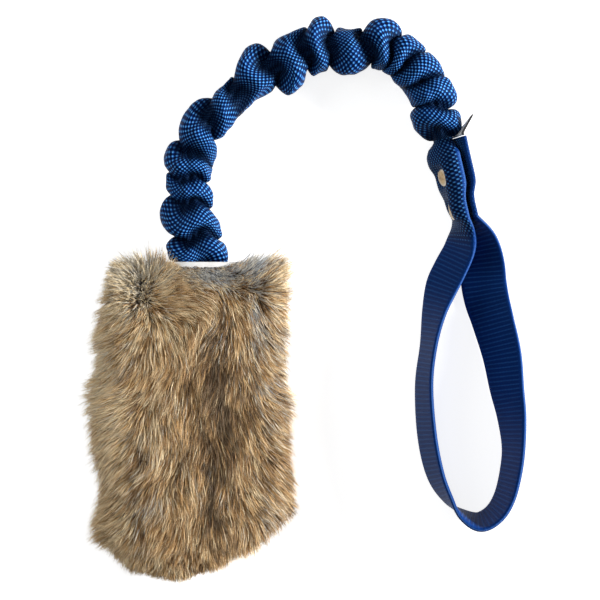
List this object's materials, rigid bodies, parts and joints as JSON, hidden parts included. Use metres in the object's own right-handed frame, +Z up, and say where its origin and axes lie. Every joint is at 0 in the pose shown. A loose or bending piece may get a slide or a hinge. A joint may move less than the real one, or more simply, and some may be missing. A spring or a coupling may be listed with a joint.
{
  "type": "bungee tug toy",
  "caption": "Tug toy with a riveted webbing handle loop, a ruched webbing sleeve over elastic cord, and a furred pelt pouch at its end, lying flat.",
  "frame": {"origin": "under the middle of the whole toy's box, on the surface that it lies on", "axes": "+Z up from the surface, +Y the way the arch of the bungee stands out from the pouch, +X from the pouch towards the handle"},
  "size_m": [0.2316, 0.3028, 0.0305],
  "materials": {
    "blue_webbing": "woven polyester, slight sheen",
    "elastic": "braided cover over rubber strands, matt",
    "rivet_metal": "nickelled, brushed and dulled",
    "label_cloth": "woven satin tape, matt",
    "pelt_fur": "tanned hide with long tan and brown fur",
    "webbing_tail": "woven polyester, slight sheen",
    "sewing_thread": "waxed polyester thread"
  },
  "bodies": {
    "handle": {"handle_strap": "blue_webbing", "elastic_end": "elastic", "rivet_cap_upper": "rivet_metal", "rivet_cap_lower": "rivet_metal", "rivet_back_upper": "rivet_metal", "rivet_back_lower": "rivet_metal"},
    "label": {"woven_label": "label_cloth"},
    "link_1": {"bungee_sleeve_1": "blue_webbing", "elastic_core_1": "elastic"},
    "link_2": {"bungee_sleeve_2": "blue_webbing", "elastic_core_2": "elastic"},
    "link_3": {"bungee_sleeve_3": "blue_webbing", "elastic_core_3": "elastic"},
    "link_4": {"bungee_sleeve_4": "blue_webbing", "elastic_core_4": "elastic"},
    "link_5": {"bungee_sleeve_5": "blue_webbing", "elastic_core_5": "elastic"},
    "link_6": {"bungee_sleeve_6": "blue_webbing", "elastic_core_6": "elastic"},
    "link_7": {"bungee_sleeve_7": "blue_webbing", "elastic_core_7": "elastic"},
    "link_8": {"bungee_sleeve_8": "blue_webbing", "elastic_core_8": "elastic"},
    "link_9": {"bungee_sleeve_9": "blue_webbing", "elastic_core_9": "elastic"},
    "pelt": {"pelt_front": "pelt_fur", "pelt_back": "pelt_fur", "seam_thread": "sewing_thread", "webbing_tail": "webbing_tail", "tail_thread_front": "sewing_thread", "tail_thread_back": "sewing_thread"}
  },
  "joints": [
    {"name": "label_flap", "type": "hinge", "parent": "handle", "child": "label", "pos_m": [0.07814, 0.08758, 0.01191], "axis": [0.3963, 0.0915, 0.9135], "range_deg": [-25, 30], "stiffness_Nm_per_rad": 0.0005},
    {"name": "handle_swing", "type": "hinge", "parent": "handle", "child": "link_1", "pos_m": [0.07128, 0.08641, 0.01345], "axis": [0, 0, -1], "range_deg": [-2, 55], "deforming": ["bungee_sleeve_1", "elastic_core_1"]},
    {"name": "stretch_1", "type": "slide", "parent": "link_1", "child": "link_2", "axis": [-0.497, 0.8678, 0], "range_m": [0, 0.028], "stiffness_N_per_m": 1500, "deforming": ["bungee_sleeve_2", "elastic_core_2"]},
    {"name": "bend_1", "type": "hinge", "parent": "link_2", "child": "link_3", "pos_m": [0.04372, 0.13269, 0.0138], "axis": [0, 0, -1], "range_deg": [-2, 45], "deforming": ["bungee_sleeve_3", "elastic_core_3"]},
    {"name": "stretch_2", "type": "slide", "parent": "link_3", "child": "link_4", "axis": [-0.9939, -0.1101, 0], "range_m": [0, 0.028], "stiffness_N_per_m": 1500, "deforming": ["bungee_sleeve_4", "elastic_core_4"]},
    {"name": "lift", "type": "hinge", "parent": "link_4", "child": "link_5", "pos_m": [-0.01005, 0.12933, 0.01414], "axis": [-0.4024, 0.9155, 0], "range_deg": [0, 80], "deforming": ["bungee_sleeve_5", "elastic_core_5"]},
    {"name": "stretch_3", "type": "slide", "parent": "link_5", "child": "link_6", "axis": [-0.8113, -0.5846, 0], "range_m": [0, 0.028], "stiffness_N_per_m": 1500, "deforming": ["bungee_sleeve_6", "elastic_core_6"]},
    {"name": "bend_2", "type": "hinge", "parent": "link_6", "child": "link_7", "pos_m": [-0.05459, 0.09676, 0.01448], "axis": [0, 0, -1], "range_deg": [-2, 45], "deforming": ["bungee_sleeve_7", "elastic_core_7"]},
    {"name": "stretch_4", "type": "slide", "parent": "link_7", "child": "link_8", "axis": [-0.1081, -0.9941, 0], "range_m": [0, 0.028], "stiffness_N_per_m": 1500, "deforming": ["bungee_sleeve_8", "elastic_core_8"]},
    {"name": "pelt_swing", "type": "hinge", "parent": "link_8", "child": "link_9", "pos_m": [-0.06371, 0.04367, 0.01483], "axis": [0, 0, -1], "range_deg": [-10, 55], "deforming": ["bungee_sleeve_9", "elastic_core_9"]},
    {"name": "pelt_fold", "type": "hinge", "parent": "link_9", "child": "pelt", "pos_m": [-0.05972, 0.01626, 0.015], "axis": [-1, 0, 0], "range_deg": [0, 90]}
  ],
  "couplings": [
    {"joint": "stretch_2", "follows": "stretch_1", "ratio": 1},
    {"joint": "stretch_3", "follows": "stretch_1", "ratio": 1},
    {"joint": "stretch_4", "follows": "stretch_1", "ratio": 1}
  ]
}
